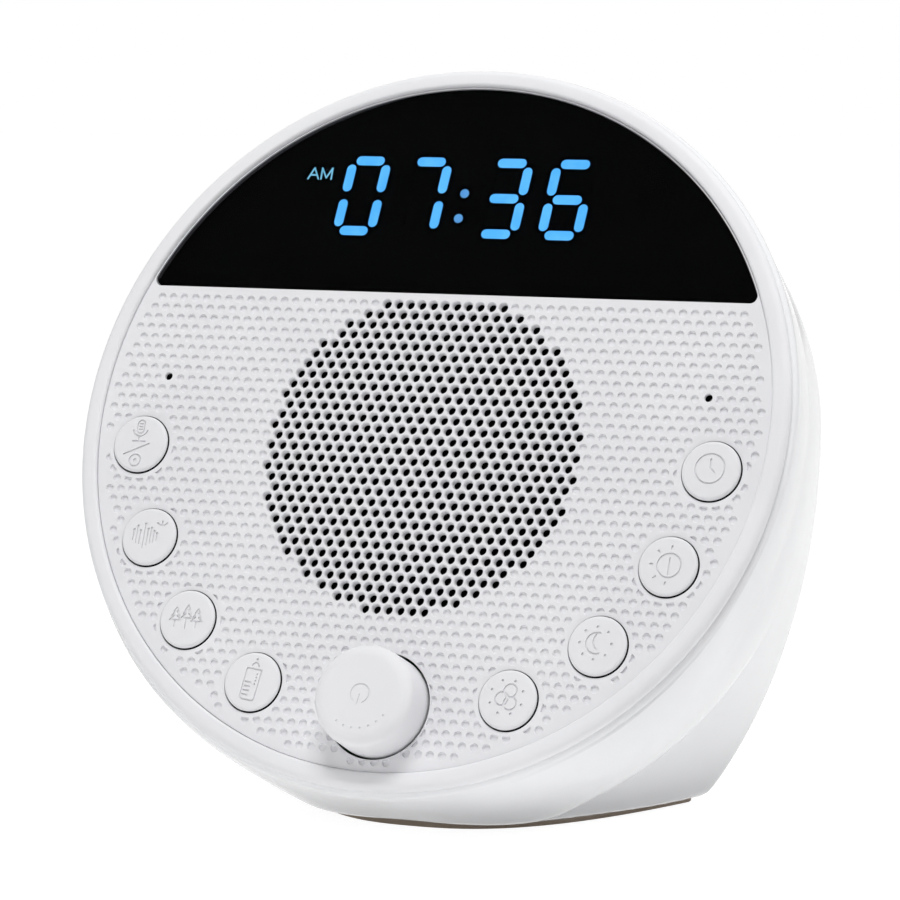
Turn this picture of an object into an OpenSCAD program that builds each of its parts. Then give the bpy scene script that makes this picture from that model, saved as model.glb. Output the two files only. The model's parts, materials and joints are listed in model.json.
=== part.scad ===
// White noise sound machine: a round face that leans back over a flat base.
// The face carries a clock display, a speaker grille, eight keys and a push-and-turn knob.
// Millimetres. X right, Y back, Z up. The origin is on the table, under the middle of the body.

/* [Face] */
// Angle that the face leans back from upright
lean = 24; // [23:1:25]
// Height of the face centre above the table
face_h = 70; // [69.5:0.5:71]
// Distance of the face centre from the middle of the depth, backwards
face_y = -2.8; // [-3.5:0.1:-2.5]
// Outer radius of the trim ring round the face
bezel_r = 65.8; // [65.6:0.1:66]
// Radius of the front panel
panel_r = 62.3; // [62:0.1:62.4]
// Thickness of the front panel
panel_t = 2.4; // [2.2:0.1:2.6]

/* [Grille] */
// Distance between neighbouring holes
hole_pitch = 2.2; // [2.1:0.1:2.4]
// Diameter of one through hole
hole_d = 1.25; // [1:0.05:1.4]
// Radius of the perforated circle
grille_r = 29.35; // [28:0.05:29.4]
// Drop of the grille centre below the face centre
speaker_drop = 5.35; // [5:0.05:5.5]

/* [Body] */
// Radius of the shell just behind the trim ring
shell_r = 66.3; // [66.1:0.1:66.6]
// Depth of the straight wall behind the trim ring
rim_depth = 9.6; // [9:0.1:10]
// Distance from the face centre back to the rear face
rear_depth = 36.3; // [36:0.1:37]
// Height of the widest level of the rear face
rear_level = 67.4; // [67:0.1:68]
// Half width of the rear face at that level
rear_half_w = 61; // [60.5:0.1:61.5]
// Height of the rear arch above that level
rear_up = 58.6; // [58:0.1:59]
// Reach of the lower curve of the rear outline
rear_down = 89.3; // [89:0.1:90]
// Fullness of that lower curve
rear_power = 1.94; // [1.9:0.02:2]
// Thickness of the shell wall
wall = 2.5; // [2.3:0.1:2.7]
// Rounding of the rear edge
edge_r = 3; // [2.5:0.1:3.2]

/* [Base] */
// Half width of the base outline at the back of the pad
base_half_w = 41; // [40.5:0.1:41.5]
// Distance of the front of the base before the face centre
base_front = 6.6; // [6.4:0.1:6.8]
// Part of the pad that stands below the shell
pad_show = 1.2; // [1:0.1:1.5]

/* [Display] */
// Straight lower edge of the lens above the face centre
lens_low = 23.6; // [23.4:0.1:24]
// Thickness of the lens
lens_t = 1.5; // [1.4:0.05:1.6]
// Height of the digit centres above the face centre
digit_up = 42.2; // [42:0.1:42.5]
// Distance between the centre lines of a digit's top and bottom segments
digit_h = 13.3; // [13:0.1:13.5]
// Distance between the centre lines of a digit's side segments
digit_w = 6.6; // [6.4:0.1:6.8]
// Width of one segment
stroke = 1.8; // [1.6:0.1:1.9]
// Slant of the digits, degrees
slant = 4.1; // [4:0.1:5]

/* [Controls] */
// Diameter of one key
key_d = 10.3; // [10.1:0.1:10.5]
// Radius of the circle that the keys stand on
key_ring = 53.9; // [53.8:0.1:54]
// Angle of the highest key below level
key_first = 7.1; // [7:0.1:7.5]
// Angle from one key to the next
key_step = 18.95; // [18.8:0.05:19]
// Height of the key tops above the panel
key_rise = 0.65; // [0.6:0.05:0.8]
// Diameter of the knob at its foot
knob_d = 18.1; // [18:0.1:18.3]
// Height of the knob above the panel
knob_h = 8; // [7.8:0.1:8.4]
// Drop of the knob centre below the face centre
knob_drop = 50.8; // [50.7:0.1:51]

/* [Hidden] */

// levels behind (minus) or before the panel's front surface
board_front = -7.6;
board_t = 1.6;
board_back = board_front - board_t;
lens_seat = 0.1;
trim_rest = -0.8;
flange_z = -panel_t - 0.8;

// the rear face, the cover in it and the main board on the cover
rear_y = face_y + rear_depth;
cover_t = 2.5;
cover_y = rear_y - cover_t;
rear_reach = -85.5;
cover_inset = 4.3;
main_y = cover_y - 5.3;
floor_z = pad_show + wall;

key_hole_r = key_d / 2 + 0.2;
knob_hole_r = knob_d / 2 + 0.4;
key_post_z = -4.6;
mic_x = 50.8;
mic_y = 6.4;
digit_x = [-20.3, -8.5, 6.9, 18.8];
board_posts = [[46, 27], [-46, 27], [37, -27], [-37, -27]];
ear_r = 34.2;
main_posts = [[26, 13], [-26, 13], [26, 43], [-26, 43]];
jack_z = 17;
jack_r = 5.2;
ribbon_x = -20;
ribbon_w = 12;
round_n = 96;

// segments: a top, b and c right, d bottom, e and f left, g middle
lit = [[1, 1, 1, 1, 1, 1, 0], [1, 1, 1, 0, 0, 0, 0], [1, 1, 1, 1, 0, 0, 1], [1, 0, 1, 1, 1, 1, 1]];

// ---- helpers

function polar(r, a) = [r * cos(a), r * sin(a), 0];
function arc(cx, cy, r, a0, a1, n) =
    [for (i = [0 : n]) let (a = a0 + (a1 - a0) * i / n) [cx + r * cos(a), cy + r * sin(a)]];
function from_face(p) = [p[0], face_y + p[1] * sin(lean) - p[2] * cos(lean),
    face_h + p[1] * cos(lean) + p[2] * sin(lean)];
function flip(pts) = [for (i = [len(pts) - 1 : -1 : 0]) pts[i]];
function mirror_x(pts) = [for (i = [len(pts) - 1 : -1 : 0]) [-pts[i][0], pts[i][1]]];

module on_face() {
    translate([0, face_y, face_h]) rotate([90 - lean, 0, 0]) children();
}

module on_speaker() {
    on_face() translate([0, -speaker_drop, 0]) children();
}

module at_key(side, i) {
    a = -(key_first + key_step * i);
    on_face() translate([side * key_ring * cos(a), key_ring * sin(a), 0]) children();
}

// round solid along the local Z, from level z0 up to z1
module rod(r, z0, z1) {
    translate([0, 0, z0]) cylinder(r = r, h = z1 - z0, $fn = 48);
}

module tube(r0, r1, z0, z1) {
    difference() {
        rod(r1, z0, z1);
        rod(r0, z0 - 1, z1 + 1);
    }
}

module block(x, y, z0, z1) {
    translate([-x / 2, -y / 2, z0]) cube([x, y, z1 - z0]);
}

// round solid along the world Y, from y0 back to y1
module rod_y(r, y0, y1) {
    translate([0, y1, 0]) rotate([90, 0, 0]) cylinder(r = r, h = y1 - y0, $fn = 48);
}

module lathe(points) {
    rotate_extrude($fn = round_n) polygon(points);
}

// ---- body form

// right half of the rear outline, from the arch down to the level low, as [x, height over rear_level]
function rear_half(inset, low) = concat(
    [for (a = [90 : -5 : 5]) [(rear_half_w - inset) * cos(a), (rear_up - inset) * sin(a)]],
    [for (i = [0 : 16]) let (z = low * i / 16)
        [(rear_half_w - inset) * pow(1 - pow(-z / (rear_down - inset), rear_power), 1 / rear_power), z]]);

module rear_outline(inset, low) {
    half = rear_half(inset, low);
    polygon(concat(half, mirror_x(half)));
}

// plate in the shape of the rear outline, between the depths y0 and y1
module rear_plate(inset, low, y0, y1) {
    translate([0, y1, rear_level]) rotate([90, 0, 0]) linear_extrude(y1 - y0) rear_outline(inset, low);
}

// right half of the base outline, from its front back to the depth y_end: a parabola
function base_half(grow_x, grow_y, y_end) = let (
    w = base_half_w + grow_x, y0 = face_y - base_front - grow_y, ye = rear_y - 3)
    [for (i = [0 : 24]) let (x = w * sqrt((y_end - y0) / (ye - y0)) * i / 24) [x, y0 + (ye - y0) * x * x / (w * w)]];

module base_slice(grow_x, grow_y, z, t, y_end) {
    half = base_half(grow_x, grow_y, y_end);
    translate([0, 0, z]) linear_extrude(t) polygon(concat(half, flip([for (p = half) if (p[0] > 0) [-p[0], p[1]]])));
}

// the wall is drawn from the round rim to the rear outline, cut level and rounded off at the base
module body_solid() {
    intersection() {
        hull() {
            on_face() translate([0, 0, -rim_depth]) cylinder(r = shell_r, h = rim_depth + trim_rest, $fn = 120);
            rear_plate(0, rear_reach, rear_y - edge_r - 0.1, rear_y - edge_r);
            rear_plate(0.3 * edge_r, rear_reach, rear_y - 0.4 * edge_r, rear_y - 0.3 * edge_r);
            rear_plate(edge_r, rear_reach, rear_y - 0.1, rear_y);
        }
        hull() {
            base_slice(-1, -0.3, pad_show, 0.05, rear_y + 5);
            base_slice(0.1, 1.4, pad_show + 0.6, 0.05, rear_y + 5);
            base_slice(1.2, 5, pad_show + 1.7, 0.05, rear_y + 5);
            base_slice(220, 420, 145, 1, rear_y + 5);
        }
    }
}

// ---- face

module bezel_ring() {
    seat = shell_r - wall - 0.1;
    color([0.93, 0.93, 0.95]) on_face() lathe(concat(
        [[panel_r - 1.6, -panel_t], [panel_r - 1.6, -4], [seat, -4], [seat, trim_rest], [bezel_r, trim_rest]],
        arc(bezel_r - 1.5, -0.7, 1.5, 0, 90, 6),
        arc(panel_r + 0.9, 0.2, 0.6, 90, 180, 4),
        [[panel_r + 0.3, -panel_t]]));
}

// lens outline: a circle segment with rounded lower corners
function lens_points(r, low, f) = let (
    cy = low + f, cx = sqrt((r - f) * (r - f) - cy * cy), a = atan2(cy, cx))
    concat(arc(cx, cy, f, -90, a, 6), arc(0, 0, r, a, 180 - a, 60), arc(-cx, cy, f, 180 - a, 270, 6));

module lens_shape(grow) {
    polygon(lens_points(panel_r - 0.3 + grow, lens_low - grow, 1.3));
}

// hexagonal pattern of grille holes, without the rows that the lens covers
module grille_holes() {
    rows = 15;
    top_row = 14;
    for (j = [-rows : top_row], i = [-rows : rows])
        let (x = hole_pitch * (i + (j % 2 == 0 ? 0 : 0.5)), y = hole_pitch * j * sqrt(3) / 2)
            if (x * x + y * y <= grille_r * grille_r)
                translate([x, y - speaker_drop]) circle(d = hole_d, $fn = 16);
}

module front_panel() {
    color([0.94, 0.94, 0.96]) on_face() difference() {
        union() {
            translate([0, 0, -panel_t]) linear_extrude(panel_t) difference() {
                circle(r = panel_r, $fn = round_n);
                grille_holes();
            }
            for (p = board_posts) translate(p) rod(3, board_front, -panel_t);
            for (a = [45 : 90 : 315]) translate([0, -speaker_drop, 0]) translate(polar(ear_r, a))
                rod(3, flange_z, -panel_t);
        }
        translate([0, 0, -lens_t - lens_seat]) linear_extrude(5) lens_shape(0.15);
        translate([-3.5, digit_up - 0.5, 0]) block(58.6, 19.1, -10, 1);
        for (side = [-1, 1], i = [0 : 3]) let (a = -(key_first + key_step * i))
            translate([side * key_ring * cos(a), key_ring * sin(a), 0]) rod(key_hole_r, -10, 1);
        translate([0, -knob_drop, 0]) rod(knob_hole_r, -10, 1);
        for (side = [-1, 1]) translate([side * mic_x, mic_y, 0]) rod(0.7, -10, 1);
        for (p = board_posts) translate(p) rod(1.15, board_front - 1, -panel_t - 0.2);
        for (a = [45 : 90 : 315]) translate([0, -speaker_drop, 0]) translate(polar(ear_r, a))
            rod(1.2, flange_z - 1, -0.8);
    }
}

module display_lens() {
    color([0.05, 0.05, 0.06]) on_face() translate([0, 0, -lens_t - 0.05]) linear_extrude(lens_t) lens_shape(0);
}

module display_module() {
    color([0.08, 0.08, 0.09]) on_face() translate([-3.5, digit_up - 0.5, 0]) block(58, 18.5, board_front, -1.9);
}

// one segment as a rounded bar between two points, slanted with its digit
function sheared(p) = [p[0] + p[1] * tan(slant), p[1]];
function bar(p, q) = let (d = q - p, a = atan2(d[1], d[0]), r = stroke / 2)
    [for (v = concat(arc(q[0], q[1], r, a - 90, a + 90, 6), arc(p[0], p[1], r, a + 90, a + 270, 6))) sheared(v)];

function segment(k) = let (w = digit_w / 2, h = digit_h / 2, e = 1.95, v0 = 1.6, v1 = 5.05)
    k == 0 ? bar([-e, h], [e, h]) :
    k == 1 ? bar([w, v0], [w, v1]) :
    k == 2 ? bar([w, -v1], [w, -v0]) :
    k == 3 ? bar([-e, -h], [e, -h]) :
    k == 4 ? bar([-w, -v1], [-w, -v0]) :
    k == 5 ? bar([-w, v0], [-w, v1]) : bar([-e, 0], [e, 0]);

module segments(state) {
    on_face() for (d = [0 : 3], k = [0 : 6]) if (lit[d][k] == state)
        translate([digit_x[d], digit_up, -1.9]) linear_extrude(0.2) polygon(segment(k));
}

module segments_lit() {
    color([0.3, 0.72, 1]) {
        segments(1);
        on_face() for (p = [[-0.55, 0.9], [-0.95, -3.8]]) translate([p[0], digit_up + p[1], 0]) rod(0.88, -1.9, -1.7);
    }
}

module segments_dark() {
    color([0.12, 0.12, 0.13]) segments(0);
}

// ---- keys and their switches

module key_cap(side, i) {
    r = key_d / 2;
    color([0.93, 0.93, 0.95]) at_key(side, i) lathe(concat(
        arc(r - 0.5, key_rise - 0.5, 0.5, 90, 0, 4),
        [[r, -2.5], [r + 0.95, -2.5], [r + 0.95, -3.5], [4.5, -3.5], [4.5, -1], [2.4, -1], [1.7, -1.6],
         [1.7, key_post_z], [0, key_post_z], [0, key_rise]]));
}

module plunger(side, i) {
    color([0.12, 0.12, 0.13]) at_key(side, i) rod(1.5, board_front + 1.2, key_post_z);
}

module switch_housings() {
    color([0.7, 0.7, 0.72]) for (side = [-1, 1], i = [0 : 3]) at_key(side, i) difference() {
        block(6, 6, board_front, board_front + 2);
        rod(1.58, board_front + 0.4, board_front + 3);
    }
}

// ---- knob and its encoder

module knob() {
    r = knob_d / 2;
    color([0.93, 0.93, 0.95]) on_face() translate([0, -knob_drop, 0]) lathe(concat(
        [[r, -1.2]],
        arc(r - 2.5, knob_h - 2.3, 2.3, 0, 90, 8),
        [[0, knob_h], [0, 5.6], [3.02, 5.6], [3.02, -0.6], [4.6, -0.6], [4.6, 5.2], [5.4, 6], [7, 6], [7.7, 5.2], [7.7, -1.2]]));
}

module encoder_shaft() {
    color([0.75, 0.75, 0.77]) on_face() translate([0, -knob_drop, 0]) union() {
        rod(3, -4.5, 5.6);
        rod(4, -4.9, -4.1);
    }
}

module encoder_plunger() {
    color([0.15, 0.15, 0.16]) on_face() translate([0, -knob_drop, 0]) rod(1.8, -6.3, -4.9);
}

module encoder_housing() {
    color([0.62, 0.63, 0.65]) on_face() translate([0, -knob_drop, 0]) difference() {
        union() {
            block(12, 11.4, board_front, -3.4);
            rod(4, -4, -1.9);
        }
        rod(4.6, -7.1, -4);
        rod(3.06, -5, -1);
    }
}

// ---- control board and what stands on it

module control_board() {
    color([0.1, 0.3, 0.2]) on_face() difference() {
        translate([0, 0, board_back]) linear_extrude(board_t) difference() {
            intersection() {
                circle(r = 59, $fn = round_n);
                translate([-60, -60]) square([120, 114]);
            }
            translate([0, -speaker_drop]) circle(r = 34, $fn = round_n);
        }
        for (p = board_posts) translate(p) rod(1.3, -12, 0);
    }
}

module control_chips() {
    color([0.1, 0.1, 0.11]) on_face() {
        translate([22, -44, 0]) block(8, 8, board_back - 1.4, board_back);
        translate([44, -14, 0]) block(5, 9, board_back - 1.4, board_back);
        translate([-45, -12, 0]) block(4, 5, board_back - 1.6, board_back);
        translate([ribbon_x, -44, 0]) block(14, 4.5, board_back - 2.4, board_back);
    }
}

module board_screws() {
    color([0.6, 0.6, 0.62]) on_face() for (p = board_posts) translate(p) union() {
        rod(2.3, board_back - 1.4, board_back);
        rod(1.1, board_back - 0.5, -3.4);
    }
}

module microphones() {
    color([0.72, 0.72, 0.74]) on_face() for (side = [-1, 1]) translate([side * mic_x, mic_y, 0])
        rod(2.95, board_front, -4.9);
}

module microphone_boots() {
    color([0.13, 0.13, 0.14]) on_face() for (side = [-1, 1]) translate([side * mic_x, mic_y, 0])
        tube(3, 4.2, board_front, -panel_t);
}

module light_strip() {
    color([0.9, 0.9, 0.88]) on_face() translate([0, 0, board_back - 6])
        rotate([0, 0, 205]) rotate_extrude(angle = 130, $fn = round_n) translate([57.6, 0]) square([1, 6]);
}

module light_leds() {
    color([0.95, 0.9, 0.6]) on_face() for (a = [215 : 15.7 : 325]) rotate([0, 0, a])
        translate([58.6, -1.75, board_back - 4.8]) cube([1.5, 3.5, 2.8]);
}

// ---- speaker

module speaker_gasket() {
    color([0.15, 0.15, 0.16]) on_speaker() tube(29.7, 31.2, flange_z, -panel_t);
}

module speaker_frame() {
    color([0.2, 0.2, 0.21]) on_speaker() difference() {
        union() {
            lathe([[27.6, flange_z], [32, flange_z], [32, -4.4], [28.8, -4.4], [16.5, -15.5], [16.5, -16.5],
                [8.2, -16.5], [8.2, -15.5], [15.3, -15.5], [27.6, -4.6]]);
            for (a = [45 : 90 : 315]) translate(polar(ear_r - 1, a)) rod(4, -4.4, flange_z);
        }
        rod(27.6, -4.5, 0);
        for (a = [45 : 90 : 315]) translate(polar(ear_r, a)) rod(1.35, -6, 0);
        for (a = [0 : 60 : 300]) rotate([0, 0, a]) translate([17, -5.5, -13.6]) cube([14, 11, 7.2]);
    }
}

module speaker_surround() {
    rr = 2.2;
    color([0.09, 0.09, 0.1]) on_speaker() lathe(concat(
        [[27.2, -2.8], [27.2, -3.1]], arc(24.9, -3.1, rr, 0, -180, 12), [[22.2, -3.1], [22.2, -2.8]],
        arc(24.9, -2.8, rr - 0.2, -180, 0, 12)));
}

module speaker_cone() {
    color([0.16, 0.16, 0.17]) on_speaker()
        lathe([[22.1, -2.9], [22.1, -3.4], [7.7, -11], [7.2, -11], [7.2, -10.4], [7.9, -10.4]]);
}

module dust_cap() {
    color([0.12, 0.12, 0.13]) on_speaker() lathe(concat(
        arc(0, -20, 12.6, 90, 53, 8), arc(0, -20, 12.2, 52, 90, 8)));
}

module voice_coil() {
    color([0.72, 0.45, 0.2]) on_speaker() tube(6.75, 7.1, -19, -10.4);
}

module speaker_spider() {
    steps = 5;
    top = [for (i = [0 : 2 * steps]) [7.2 + i, -13.2 + 0.6 * (i % 2)]];
    color([0.75, 0.6, 0.3]) on_speaker() lathe(concat(top, flip([for (p = top) [p[0], p[1] - 0.4]])));
}

module speaker_plate() {
    color([0.66, 0.67, 0.69]) on_speaker() tube(7.6, 15.5, -19, -16.5);
}

module speaker_magnet() {
    color([0.25, 0.25, 0.27]) on_speaker() tube(9.5, 15.5, -24, -19);
}

module speaker_yoke() {
    color([0.66, 0.67, 0.69]) on_speaker() union() {
        rod(14.5, -26.5, -24);
        rod(6.3, -25, -16.8);
    }
}

module speaker_screws() {
    color([0.6, 0.6, 0.62]) on_speaker() for (a = [45 : 90 : 315]) translate(polar(ear_r, a)) union() {
        rod(2.4, -5.9, -4.4);
        rod(1.15, -5, -1.2);
    }
}

// ---- shell, cover and base

// cover screws: x, height, front end of the boss, direction of the nearest wall
function boss_at() = let (a = 40, z = -45) [
    [(rear_half_w - 8) * cos(a), rear_level + (rear_up - 8) * sin(a), rear_y - 9.2, 40],
    [rear_half(8.2, z)[34][0], rear_level + z, rear_y - 11.2, -21]];

module cover_bosses(r, y_in, y_out) {
    for (side = [-1, 1], b = boss_at()) translate([side * b[0], 0, b[1]]) rod_y(r, b[2] + y_in, y_out);
}

module cover_boss_webs() {
    for (side = [-1, 1], b = boss_at()) hull() for (out = [0, 4.7])
        translate([side * (b[0] + out * cos(b[3])), 0, b[1] + out * sin(b[3])]) rod_y(1.5, b[2], cover_y);
}

module main_shell() {
    opening = cover_inset - 0.2;
    color([0.97, 0.97, 0.97]) difference() {
        union() {
            difference() {
                body_solid();
                intersection() {
                    hull() {
                        on_face() translate([0, 0, -rim_depth]) cylinder(r = shell_r - wall, h = rim_depth + 1, $fn = round_n);
                        rear_plate(wall, rear_reach + wall, cover_y - 3.1, cover_y - 3);
                    }
                    translate([-80, -60, floor_z]) cube([160, 120, 140]);
                }
                rear_plate(opening, pad_show + opening - rear_level, cover_y - 4, rear_y + 1);
            }
            cover_bosses(3.5, 0, cover_y);
            cover_boss_webs();
        }
        cover_bosses(1.35, 1.5, cover_y + 1);
        base_slice(-1.5, -0.8, pad_show - 1, 1.8, rear_y - 2.9);
    }
}

module rear_cover() {
    color([0.95, 0.95, 0.96]) difference() {
        union() {
            rear_plate(cover_inset, pad_show + cover_inset - rear_level, cover_y, rear_y);
            for (p = main_posts) translate([p[0], 0, p[1]]) rod_y(2.8, main_y + 1.6, cover_y + 1);
        }
        cover_screw_seats();
        for (p = main_posts) translate([p[0], 0, p[1]]) rod_y(1.15, main_y, cover_y + 0.8);
        translate([0, 0, jack_z]) rod_y(jack_r + 0.2, cover_y - 1, rear_y + 1);
        translate([-17, rear_y - 0.5, 62]) cube([34, 2, 20]);
    }
}

module cover_screw_seats() {
    for (side = [-1, 1], b = boss_at()) translate([side * b[0], 0, b[1]]) {
        rod_y(1.5, cover_y - 1, rear_y + 1);
        rod_y(2.9, rear_y - 1.3, rear_y + 1);
    }
}

module cover_screws() {
    color([0.6, 0.6, 0.62]) for (side = [-1, 1], b = boss_at()) translate([side * b[0], 0, b[1]]) union() {
        rod_y(2.6, rear_y - 1.3, rear_y - 0.1);
        rod_y(1.3, cover_y - 5, rear_y - 1);
    }
}

module base_pad() {
    color([0.46, 0.42, 0.38]) base_slice(-1.6, -0.9, 0, pad_show + 0.8, rear_y - 3);
}

// ---- main board, inlet and leads

module main_board() {
    color([0.1, 0.3, 0.2]) difference() {
        translate([-30, main_y, 9]) cube([60, 1.6, 38]);
        for (p = main_posts) translate([p[0], 0, p[1]]) rod_y(1.3, main_y - 1, main_y + 3);
        translate([0, 0, jack_z]) rod_y(jack_r + 0.2, main_y - 1, main_y + 3);
    }
}

module main_chips() {
    color([0.12, 0.12, 0.13]) {
        for (x = [12, 20]) translate([x, 0, 30]) rod_y(3.2, main_y - 8, main_y);
        translate([-8, main_y - 1.4, 33]) cube([9, 1.4, 9]);
        translate([9, main_y - 1.2, 38]) cube([6, 1.2, 5]);
        translate([ribbon_x - 7, main_y - 3, 20]) cube([14, 3, 4.5]);
        translate([-21, main_y - 4, 34]) cube([8, 4, 5]);
    }
}

module main_screws() {
    color([0.6, 0.6, 0.62]) for (p = main_posts) translate([p[0], 0, p[1]]) union() {
        rod_y(2.3, main_y - 1.4, main_y);
        rod_y(1.1, main_y - 0.5, cover_y + 0.5);
    }
}

module power_jack() {
    color([0.1, 0.1, 0.11]) translate([0, 0, jack_z]) difference() {
        union() {
            rod_y(jack_r, main_y - 7, rear_y - 0.4);
            translate([-6, main_y - 7, -5.5]) cube([12, 7, 11]);
        }
        rod_y(2.85, rear_y - 10.4, rear_y + 1);
        rod_y(1, rear_y - 12, rear_y - 10);
    }
}

module jack_pin() {
    color([0.8, 0.8, 0.82]) translate([0, 0, jack_z]) rod_y(1, rear_y - 12, rear_y - 1.6);
}

module ribbon_cable() {
    a = from_face([0, -44, board_back - 2.4]);
    path = [[a[1] + 0.2, a[2] - 0.2], [a[1] + 5, a[2] - 2.6], [6, 14.5], [12, 14], [18, 17], [main_y - 3, 22]];
    color([0.8, 0.8, 0.82]) translate([ribbon_x - ribbon_w / 2, 0, 0]) rotate([90, 0, 90])
        linear_extrude(ribbon_w) polygon(concat(path, flip([for (p = path) [p[0], p[1] + 0.6]])));
}

module speaker_wires() {
    a = from_face([0, -speaker_drop - 20.3, -12.2]);
    path = [[a[1], a[2]], [a[1] + 4, a[2] - 2], [6, 30], [14, 31], [main_y - 4, 36]];
    color([0.75, 0.12, 0.1]) translate([-17, 0, 0]) rotate([90, 0, 90])
        linear_extrude(3) polygon(concat(path, flip([for (p = path) [p[0], p[1] + 1.1]])));
}

bezel_ring();
front_panel();
display_lens();
display_module();
segments_lit();
segments_dark();
key_cap(-1, 0);  // key_record
key_cap(-1, 1);  // key_nature
key_cap(-1, 2);  // key_forest
key_cap(-1, 3);  // key_lullaby
key_cap(1, 0);  // key_clock
key_cap(1, 1);  // key_sunrise
key_cap(1, 2);  // key_night
key_cap(1, 3);  // key_colour
plunger(-1, 0);  // plunger_record
plunger(-1, 1);  // plunger_nature
plunger(-1, 2);  // plunger_forest
plunger(-1, 3);  // plunger_lullaby
plunger(1, 0);  // plunger_clock
plunger(1, 1);  // plunger_sunrise
plunger(1, 2);  // plunger_night
plunger(1, 3);  // plunger_colour
switch_housings();
knob();
encoder_shaft();
encoder_plunger();
encoder_housing();
control_board();
control_chips();
board_screws();
microphones();
microphone_boots();
speaker_gasket();
speaker_frame();
speaker_surround();
speaker_cone();
dust_cap();
voice_coil();
speaker_spider();
speaker_plate();
speaker_magnet();
speaker_yoke();
speaker_screws();
light_strip();
light_leds();
main_shell();
rear_cover();
cover_screws();
main_board();
main_chips();
main_screws();
power_jack();
jack_pin();
ribbon_cable();
speaker_wires();
base_pad();
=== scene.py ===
import json
import math
import bpy
import bmesh
import numpy as np
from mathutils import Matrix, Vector
from mathutils.geometry import delaunay_2d_cdt


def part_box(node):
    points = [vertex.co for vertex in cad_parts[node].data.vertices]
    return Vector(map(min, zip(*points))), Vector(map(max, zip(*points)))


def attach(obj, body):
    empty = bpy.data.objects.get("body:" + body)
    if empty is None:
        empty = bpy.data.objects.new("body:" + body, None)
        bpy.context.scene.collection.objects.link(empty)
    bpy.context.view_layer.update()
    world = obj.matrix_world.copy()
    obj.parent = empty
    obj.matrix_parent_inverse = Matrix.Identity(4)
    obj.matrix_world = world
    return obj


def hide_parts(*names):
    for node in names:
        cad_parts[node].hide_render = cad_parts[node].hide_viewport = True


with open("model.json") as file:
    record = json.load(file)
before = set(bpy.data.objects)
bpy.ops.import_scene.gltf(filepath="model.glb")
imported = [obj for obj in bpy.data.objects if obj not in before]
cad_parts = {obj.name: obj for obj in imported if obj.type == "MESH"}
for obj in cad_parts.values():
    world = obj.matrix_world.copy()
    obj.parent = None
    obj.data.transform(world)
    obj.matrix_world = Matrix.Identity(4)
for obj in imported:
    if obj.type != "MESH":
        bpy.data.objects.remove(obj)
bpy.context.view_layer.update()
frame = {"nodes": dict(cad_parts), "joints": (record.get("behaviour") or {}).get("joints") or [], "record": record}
print("frame:", len(frame["nodes"]), "nodes")

# ---- places: millimetres on the face (x right, y up, z out), or millimetres in the row frame

faceSize = {
    "knobDrop": 50.8,        # knob centre below the face centre
    "panelRadius": 62.42,
    "panelThick": 2.4,
    "speakerDrop": 5.35,     # grille centre below the face centre
    "pinholes": (50.8, 6.4),
    "pinholeRadius": 0.7,
}

dialJoint = next(j for j in frame["joints"] if j["name"] == "dial_turn")
faceOut = np.array(dialJoint["axis"]) / np.linalg.norm(dialJoint["axis"])
faceRight = np.array([1.0, 0.0, 0.0])
faceUp = np.cross(faceOut, faceRight)
faceCentre = np.array(dialJoint["pos_m"]) * 1000 + faceUp * faceSize["knobDrop"]


def fromFace(points):
    points = np.asarray(points, float).reshape(-1, 3)
    return faceCentre + points @ np.array([faceRight, faceUp, faceOut])


def toFace(points):
    return (np.asarray(points, float).reshape(-1, 3) - faceCentre) @ np.array([faceRight, faceUp, faceOut]).T


def nodeOnFace(node):
    low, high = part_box(node)
    return toFace(np.array((low + high) / 2) * 1000)[0]


# ---- node trees

class Wire:
    def __init__(self, tree, socket):
        self.tree = tree
        self.socket = socket

    def calc(self, operation, left, right):
        return self.tree.node("ShaderNodeMath", {"operation": operation}, {0: left, 1: right})

    def __add__(self, other):
        return self.calc("ADD", self, other)

    def __radd__(self, other):
        return self.calc("ADD", other, self)

    def __sub__(self, other):
        return self.calc("SUBTRACT", self, other)

    def __rsub__(self, other):
        return self.calc("SUBTRACT", other, self)

    def __mul__(self, other):
        return self.calc("MULTIPLY", self, other)

    def __rmul__(self, other):
        return self.calc("MULTIPLY", other, self)

    def __gt__(self, other):
        return self.calc("GREATER_THAN", self, other)


class NodeTree:
    def __init__(self, owner):
        owner.use_nodes = True
        self.tree = owner.node_tree
        self.tree.nodes.clear()

    def node(self, kind, settings, inputs, output=0):
        made = self.tree.nodes.new(kind)
        for name, value in settings.items():
            setattr(made, name, value)
        for name, value in inputs.items():
            if isinstance(value, Wire):
                self.tree.links.new(value.socket, made.inputs[name])
            else:
                made.inputs[name].default_value = value
        return Wire(self, made.outputs[output]) if made.outputs else None

    def mixColour(self, factor, first, second):
        return self.node("ShaderNodeMix", {"data_type": "RGBA"}, {0: factor, 6: first, 7: second}, 2)

    def scaled(self, place, factors):
        return self.node("ShaderNodeVectorMath", {"operation": "MULTIPLY"}, {0: place, 1: factors})

    def noise(self, place, scale, detail=2.0):
        return self.node("ShaderNodeTexNoise", {}, {"Vector": place, "Scale": scale, "Detail": detail})

    def smooth(self, value, low, high):
        return self.node("ShaderNodeMapRange", {"interpolation_type": "SMOOTHSTEP"},
                         {"Value": value, "From Min": low, "From Max": high})


# colour and shade are the two tones that drift into each other, cloud and grain are noise
# scales per metre, depth is the height of the grain in metres
plainLook = {"cloud": 40.0, "grain": 2500.0, "depth": 0.00002, "bump": 0.3, "rough": 0.45, "spread": 0.08,
             "metal": 0.0, "coat": 0.0, "stretch": (1.0, 1.0, 1.0), "pattern": None, "fixed": {}}

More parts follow.
